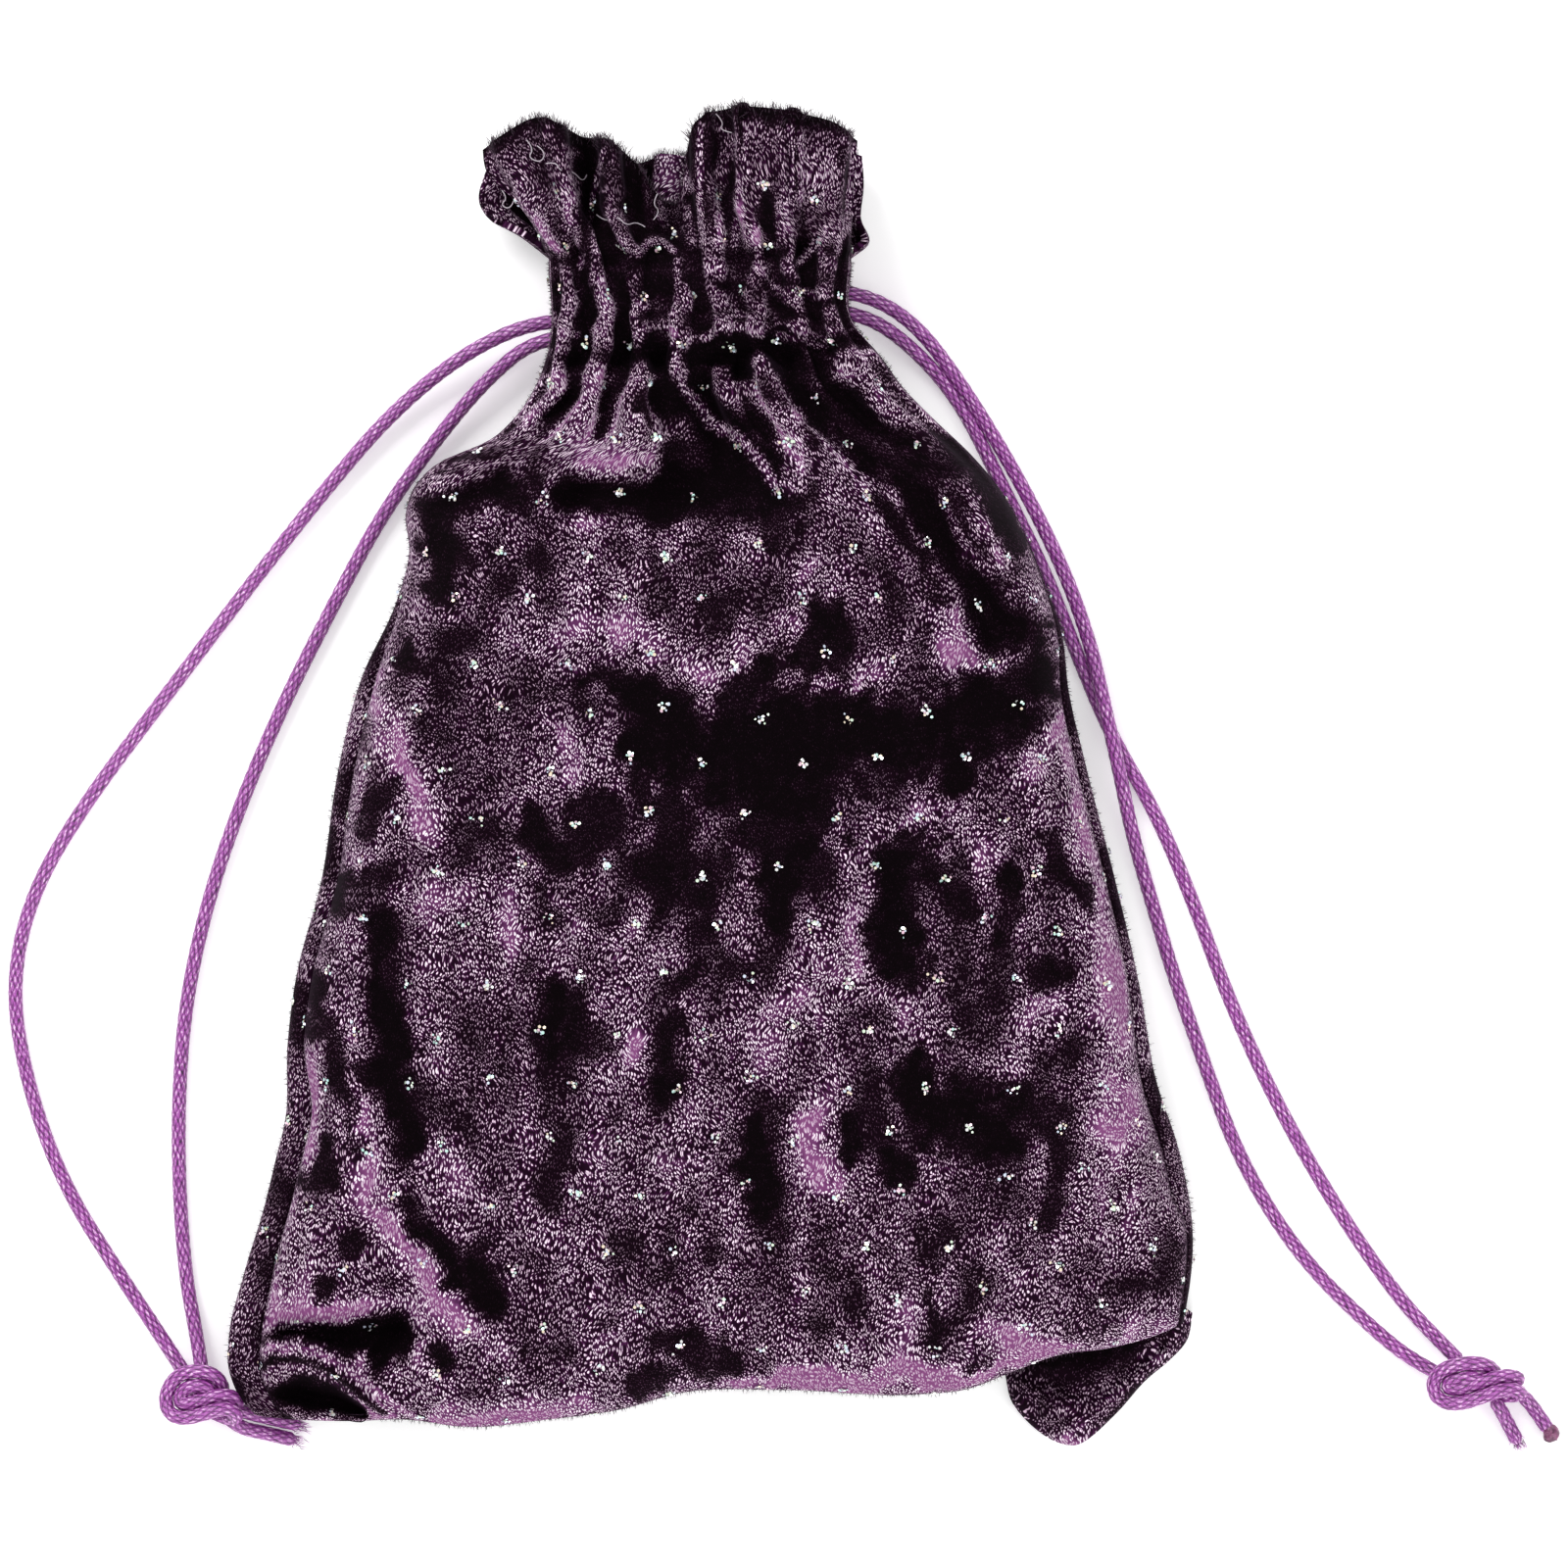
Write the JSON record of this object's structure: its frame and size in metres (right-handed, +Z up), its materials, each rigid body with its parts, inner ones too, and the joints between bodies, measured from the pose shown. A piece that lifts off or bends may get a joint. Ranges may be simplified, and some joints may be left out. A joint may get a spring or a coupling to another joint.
{
  "type": "drawstring pouch",
  "caption": "Small crushed velvet pouch lying flat, its gathered mouth drawn shut by two knotted satin cords that leave the channel on opposite sides.",
  "frame": {"origin": "on the table, under the middle of the pouch's box without its free cords", "axes": "+Z up from the table, +Y from the bottom fold towards the mouth, +X to the right of somebody facing the front panel with the mouth away from them"},
  "size_m": [0.2107, 0.1823, 0.02],
  "materials": {
    "velvet": "crushed stretch velvet with short pile, sheen and small glitter dots",
    "cord": "shiny round braided satin cord",
    "thread": "matte sewing thread"
  },
  "bodies": {
    "pouch": {"back_panel": "velvet", "front_panel": "velvet", "left_seam_allowance": "velvet", "right_seam_allowance": "velvet", "left_side_stitching": "thread", "right_side_stitching": "thread", "back_casing": "velvet", "back_hem": "velvet", "back_ruffle": "velvet", "back_lower_stitching": "thread", "back_upper_stitching": "thread", "left_cord_back_run": "cord", "right_cord_back_run": "cord"},
    "mouth_front": {"front_yoke": "velvet", "front_casing": "velvet", "front_hem": "velvet", "front_ruffle": "velvet", "front_lower_stitching": "thread", "front_upper_stitching": "thread", "left_cord_front_run": "cord", "right_cord_front_run": "cord"},
    "left_drawcord": {"left_outer_strand": "cord", "left_inner_strand": "cord", "left_knot": "cord", "left_upper_tail": "cord", "left_lower_tail": "cord"},
    "right_drawcord": {"right_upper_strand": "cord", "right_lower_strand": "cord", "right_knot": "cord", "right_inner_tail": "cord", "right_outer_tail": "cord"}
  },
  "joints": [
    {"name": "mouth_lift", "type": "hinge", "parent": "pouch", "child": "mouth_front", "pos_m": [0, 0.038, 0.02], "axis": [1, 0, 0], "range_deg": [0, 35]},
    {"name": "left_drawcord_pull", "type": "slide", "parent": "pouch", "child": "left_drawcord", "axis": [-1, 0, 0], "range_m": [0, 0.015]},
    {"name": "right_drawcord_pull", "type": "slide", "parent": "pouch", "child": "right_drawcord", "axis": [1, 0, 0], "range_m": [0, 0.015]}
  ]
}
